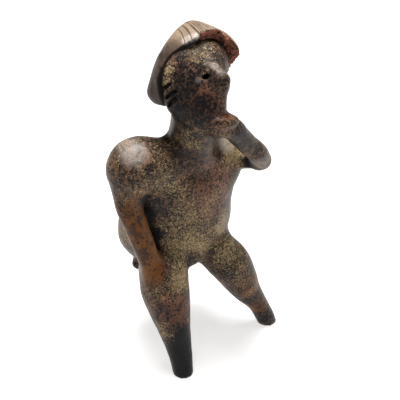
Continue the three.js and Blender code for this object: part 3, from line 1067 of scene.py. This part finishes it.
# %% Colours of the finish
umber = (0.145, 0.080, 0.048, 1)
peat = (0.022, 0.015, 0.012, 1)
# Soot black: the dark grains, and also painted shade where the black mask lies in folds.
soot_and_shade_black = (0.006, 0.0065, 0.0085, 1)
red_clay = (0.190, 0.075, 0.045, 1)
orange_clay = (0.160, 0.056, 0.010, 1)
olive_deposit = (0.290, 0.205, 0.095, 1)
tan_deposit = (0.560, 0.430, 0.255, 1)
# Whitish colour of the painted highlights and sheen.
painted_highlight_white = (0.600, 0.530, 0.480, 1)
hair_brown = (0.062, 0.041, 0.031, 1)
# Pale top of the hair: partly a real wash, partly painted light from above.
hair_wash_and_top_light = (0.250, 0.182, 0.124, 1)
brick = (0.300, 0.122, 0.083, 1)
# Near black: dark hair lines, ear slits and pits in the break, and painted shade in the folds, eye
# pits, jaw crease and under the hair's rim.
groove_and_shade_black = (0.009, 0.006, 0.005, 1)
print("brightest part of the deposit:", max(tan_deposit[:3]))

# %% [markdown]
# ## Fired body
# Under everything lies the body, brown with peat-dark blotches. Red and orange are mixed in where
# their masks are strong, with an uneven edge from a broad noise, and small stains break up the
# even tone.

# %% Body colour
stain_scale = 95.0


def body_colour(tree, place, broad, medium):
    uneven = scaled(tree, broad, 1.7, -0.85)
    colour = mix_colour(tree, step_between(tree, medium, 0.38, 0.62), peat, umber)
    red_share = calculate(tree, "ADD", skin_mark(tree, "red"), uneven)
    red_share = step_between(tree, red_share, 0.1, 1.0, 0.0, 0.8)
    colour = mix_colour(tree, red_share, colour, red_clay)
    orange_share = calculate(tree, "ADD", skin_mark(tree, "orange"), uneven)
    orange_share = step_between(tree, orange_share, 0.2, 0.9, 0.0, 0.9)
    colour = mix_colour(tree, orange_share, colour, orange_clay)
    stains = noise(tree, place, stain_scale, 5.0, 0.7)
    stains = step_between(tree, stains, 0.47, 0.6, 0.0, 0.5)
    stain_strength = scaled(tree, skin_mark(tree, "orange"), 0.5, 1.0)
    stains = times(tree, stains, stain_strength)
    return mix_colour(tree, stains, colour, peat), uneven


print("stains in millimetres:", round(1000 / stain_scale, 1))

# %% [markdown]
# ## Deposit, soot and painted shade
# Pale grains lie where the clay rested in lime, in two sizes so that they don't look stamped. Dark
# grains cover all of it, and where the black mask is strong they close up into a solid cloud: fire
# clouds in some places, painted shade in the armpit, beside the right arm and in other folds. A
# little olive dust goes over the pale grains at the end, so soot and lime lie in one another.

# %% Pale and dark grains
tone_scale = 420.0
dark_grain = 480.0
coarse_grain = 700.0
fine_grain = 1200.0


def deposit_mask(tree, place, uneven):
    crowd = scaled(tree, skin_mark(tree, "pale"), 0.36, 0.29)
    crowd = scaled(tree, uneven, 0.5, crowd)
    crowd = scaled(tree, skin_mark(tree, "black"), -0.5, crowd)
    crowd = scaled(tree, skin_mark(tree, "orange"), -0.3, crowd)
    coarse = grains(tree, place, crowd, coarse_grain)
    fine = grains(tree, place, crowd, fine_grain)
    return calculate(tree, "MAXIMUM", coarse, times(tree, fine, 0.65))


def add_pale_grains(tree, colour, place, pale_mask):
    tone = step_between(tree, noise(tree, place, tone_scale, 3.0, 0.6), 0.4, 0.62)
    deposit = mix_colour(tree, tone, olive_deposit, tan_deposit)
    return mix_colour(tree, times(tree, pale_mask, 0.85), colour, deposit)


def add_soot_and_shade(tree, colour, place, uneven, medium):
    crowd = scaled(tree, skin_mark(tree, "black"), 0.3, 0.52)
    crowd = scaled(tree, skin_mark(tree, "orange"), -0.16, crowd)
    dark_mask = grains(tree, place, crowd, dark_grain)
    colour = mix_colour(tree, times(tree, dark_mask, 0.95), colour, soot_and_shade_black)
    # The black mask holds fire clouds and painted shade in the folds; both go on as a dark veil and
    # a solid cloud.
    soot_and_shade_veil = times(tree, skin_mark(tree, "black"), 0.55)
    colour = mix_colour(tree, soot_and_shade_veil, colour, soot_and_shade_black)
    patchy = scaled(tree, medium, 1.3, -0.65)
    patchy = calculate(tree, "ADD", uneven, patchy)
    soot_and_shade_cloud = calculate(tree, "ADD", skin_mark(tree, "black"), patchy)
    return mix_colour(tree, step_between(tree, soot_and_shade_cloud, 0.35, 1.05, 0.0, 0.85), colour, soot_and_shade_black)


print("grains in millimetres:", [round(1000 / g, 1) for g in (dark_grain, coarse_grain, fine_grain)])

# %% [markdown]
# ## Hair, painted highlights, break and painted shade
# The hair is pale on the crown and dark low down, partly a real wash and partly painted light from
# above, with streaks that run along it. Painted highlights and sheen lie on the high places. Last
# come the brick red of the break, the dark hair lines and ear slits, and painted shade in the eye
# pits, the jaw crease, every fold and under the hair's rim.

# %% Hair and the last layers
streak_scale = 260.0
along_the_hair = (1.0, 0.25, 0.4)


def hair_colour(tree, colour, place):
    stretched = add_node(tree, "ShaderNodeMapping")
    stretched.inputs["Scale"].default_value = along_the_hair
    tree.links.new(place, stretched.inputs["Vector"])
    streaks = noise(tree, stretched.outputs["Vector"], streak_scale, 5.0, 0.65)
    streak_share = step_between(tree, streaks, 0.3, 0.65, 0.6, 1.0)
    # The crown mask makes the hair pale on top: partly a real wash, partly painted light from above.
    wash_and_top_light = times(tree, streak_share, skin_mark(tree, "crown"))
    hair_tone = mix_colour(tree, wash_and_top_light, hair_brown, hair_wash_and_top_light)
    dark_hair = mix_colour(tree, step_between(tree, streaks, 0.35, 0.6), peat, hair_brown)
    hair_tone = mix_colour(tree, skin_mark(tree, "crown"), dark_hair, hair_tone)
    colour = mix_colour(tree, skin_mark(tree, "hair"), colour, hair_tone)
    # Painted shade under the proud rim of the hair.
    return mix_colour(tree, skin_mark(tree, "rim"), colour, groove_and_shade_black)


def add_painted_highlight(tree, colour, medium):
    patches = step_between(tree, medium, 0.2, 0.5)
    # Painted highlights and sheen on the high places, broken into patches.
    highlight_share = times(tree, skin_mark(tree, "white"), patches)
    return mix_colour(tree, times(tree, highlight_share, 0.28), colour, painted_highlight_white)


def add_break_marks_and_shade(tree, colour, crumbs):
    break_colour = mix_colour(tree, step_between(tree, crumbs, 0.32, 0.52), groove_and_shade_black, brick)
    colour = mix_colour(tree, skin_mark(tree, "broken"), colour, break_colour)
    # Dark hair lines and ear slits, and painted shade in the eye pits and the jaw crease.
    mark = calculate(tree, "MINIMUM", skin_mark(tree, "mark"), 1.0)
    colour = mix_colour(tree, mark, colour, groove_and_shade_black)
    # Painted shade in the folds, darker the deeper a point lies in a fold, but not on the break.
    painted_crease_shade = step_between(tree, skin_mark(tree, "shade"), 0.35, 0.9, 0.0, 0.85)
    unbroken = calculate(tree, "SUBTRACT", 1.0, skin_mark(tree, "broken"))
    painted_crease_shade = times(tree, painted_crease_shade, unbroken)
    return mix_colour(tree, painted_crease_shade, colour, groove_and_shade_black)


print("hair streaks across, in millimetres:", round(1000 / streak_scale, 1))

# %% [markdown]
# ## Shine and fine relief
# Burnished clay shines softly, and the deposit, the folds and the break are dull, so roughness
# follows the same masks. The shine itself is one number for the whole skin. Grains and crumbs
# stand out a little, which a bump shows better than still more facets would.

# %% Roughness and bump
wrinkle_scale = 260.0
bump_strength = 0.45
bump_distance = 0.0009


def roughness(tree, pale_mask, medium):
    dull = scaled(tree, pale_mask, 0.22, 0.26)
    dull = scaled(tree, medium, 0.16, dull)
    dull = scaled(tree, skin_mark(tree, "broken"), 0.4, dull)
    return scaled(tree, skin_mark(tree, "shade"), 0.3, dull)


def relief(tree, place, pale_mask, crumbs):
    height = scaled(tree, crumbs, 0.25, noise(tree, place, wrinkle_scale, 5.0, 0.6))
    height = scaled(tree, pale_mask, 0.35, height)
    bump = add_node(tree, "ShaderNodeBump")
    bump.inputs["Strength"].default_value = bump_strength
    bump.inputs["Distance"].default_value = bump_distance
    tree.links.new(height, bump.inputs["Height"])
    return bump.outputs["Normal"]


print("relief in millimetres:", bump_distance * 1000)

# %% [markdown]
# ## The finished clay
# The layers go on in this order: body, deposit, soot with painted shade in the folds, dust, hair
# wash with painted light on top, painted highlights, and last the break, the dark marks and painted
# shade. The shader stays in the material, and every layer feeds its colour, its roughness or its
# normal.

# %% Burnished clay
cloud_scale = 34.0
blotch_scale = 150.0
crumb_scale = 330.0
burnish = 0.12


def make_clay():
    material = bpy.data.materials.new("burnished_clay")
    material.use_nodes = True
    tree = material.node_tree
    tree.nodes.clear()
    out = add_node(tree, "ShaderNodeOutputMaterial")
    shader = add_node(tree, "ShaderNodeBsdfPrincipled")
    tree.links.new(shader.outputs["BSDF"], out.inputs["Surface"])
    place = add_node(tree, "ShaderNodeTexCoord").outputs["Object"]
    broad = noise(tree, place, cloud_scale, 3.0, 0.55)
    medium = noise(tree, place, blotch_scale, 5.0, 0.65)
    crumbs = noise(tree, place, crumb_scale, 5.0, 0.7)
    colour, uneven = body_colour(tree, place, broad, medium)
    pale_mask = deposit_mask(tree, place, uneven)
    colour = add_pale_grains(tree, colour, place, pale_mask)
    colour = add_soot_and_shade(tree, colour, place, uneven, medium)
    colour = mix_colour(tree, times(tree, pale_mask, 0.45), colour, olive_deposit)
    colour = hair_colour(tree, colour, place)
    colour = add_painted_highlight(tree, colour, medium)
    colour = add_break_marks_and_shade(tree, colour, crumbs)
    tree.links.new(colour, shader.inputs["Base Color"])
    tree.links.new(roughness(tree, pale_mask, medium), shader.inputs["Roughness"])
    tree.links.new(relief(tree, place, pale_mask, crumbs), shader.inputs["Normal"])
    shader.inputs["Specular IOR Level"].default_value = burnish
    return material


clay = make_clay()
mesh.materials.append(clay)
print("finish nodes:", len(clay.node_tree.nodes))

# %% [markdown]
# ## Floor
# The figure stands on a plain white floor that runs far out of view. Its paint glows a little, so
# the floor stays white and only a faint shadow is left under the legs.

# %% Floor
floor_reach = 6.0
floor_grey = (0.45, 0.45, 0.45, 1)
floor_glow = (1.0, 0.99, 0.975, 1)
glow_strength = 0.72


def make_floor():
    floor_mesh = bpy.data.meshes.new("floor")
    sides = [(-1, -1), (1, -1), (1, 1), (-1, 1)]
    corners = [(x * floor_reach, y * floor_reach, 0) for x, y in sides]
    floor_mesh.from_pydata(corners, [], [(0, 1, 2, 3)])
    floor = bpy.data.objects.new("floor", floor_mesh)
    bpy.context.collection.objects.link(floor)
    paint = bpy.data.materials.new("floor_paint")
    paint.use_nodes = True
    shader = paint.node_tree.nodes["Principled BSDF"]
    shader.inputs["Base Color"].default_value = floor_grey
    shader.inputs["Emission Color"].default_value = floor_glow
    shader.inputs["Emission Strength"].default_value = glow_strength
    shader.inputs["Roughness"].default_value = 0.9
    floor_mesh.materials.append(paint)
    return floor


floor = make_floor()
print("made", floor.name, "that reaches, in metres:", floor_reach)

# %% [markdown]
# ## Light
# One soft square light hangs overhead and a little behind, which gives the short shadow and, with
# the painted highlight there, the round shine on the shoulder. A small one at the side opens the
# darker half. The space around is dim, so that the folds stay dark along with the painted shade in
# them, but the camera itself sees it as white.

# %% Lights
middle = (0.0, 0.0, 0.14)
lamps = {
    "overhead": ((0.0, 0.15, 1.25), 0.5, 30),
    "right_box": ((1.0, -0.55, 0.55), 0.32, 3),
}
room_light = 0.12


def soft_light(name, place, size, power):
    data = bpy.data.lights.new(name, "AREA")
    data.shape = "SQUARE"
    data.size = size
    data.energy = power
    lamp = bpy.data.objects.new(name, data)
    bpy.context.collection.objects.link(lamp)
    lamp.location = place
    lamp.rotation_euler = (Vector(middle) - Vector(place)).to_track_quat("-Z", "Y").to_euler()


for name, (place, size, power) in lamps.items():
    soft_light(name, place, size, power)

bpy.context.scene.view_settings.view_transform = "Standard"
world = bpy.data.worlds.new("studio")
bpy.context.scene.world = world
world.use_nodes = True
backdrop = world.node_tree.nodes["Background"]
backdrop.inputs["Color"].default_value = (1.0, 1.0, 1.0, 1)
seen = add_node(world.node_tree, "ShaderNodeLightPath").outputs["Is Camera Ray"]
brightness = scaled(world.node_tree, seen, 1 - room_light, room_light)
world.node_tree.links.new(brightness, backdrop.inputs["Strength"])
print("lights:", list(lamps), "tone curve:", bpy.context.scene.view_settings.view_transform)

# %% [markdown]
# ## Camera
# The figure is seen from above its right front. A camera 0.775 metres away with a 90 millimetre
# lens gives the same perspective, in which the head looks large and the feet small.

# %% Camera
camera_distance = 0.775
camera_lens = 90.0
sensor_width = 36.0
aim_in_drawing = np.array([10.0, -7.0, 132.0])
azimuth, elevation = np.radians([-32, 32])
aim = Vector((figure_low + (aim_in_drawing - drawn_low) * to_metres).tolist())
away = Vector((
    np.sin(azimuth) * np.cos(elevation),
    -np.cos(azimuth) * np.cos(elevation),
    np.sin(elevation),
))
camera_data = bpy.data.cameras.new("camera")
camera_data.lens = camera_lens
camera_data.sensor_width = sensor_width
camera = bpy.data.objects.new("camera", camera_data)
bpy.context.collection.objects.link(camera)
camera.location = aim + away * camera_distance
camera.rotation_euler = (-away).to_track_quat("-Z", "Y").to_euler()
bpy.context.scene.camera = camera
print("camera at:", [round(v, 3) for v in camera.location])

# %% [markdown]
# ## Triangles
# The dressed figure is as large as the solid, because it was fitted to the solid's box above. Here
# only its triangles are counted.

# %% Triangle count
triangles = sum(len(polygon.vertices) - 2 for polygon in mesh.polygons)
print("triangles in the figure:", triangles)
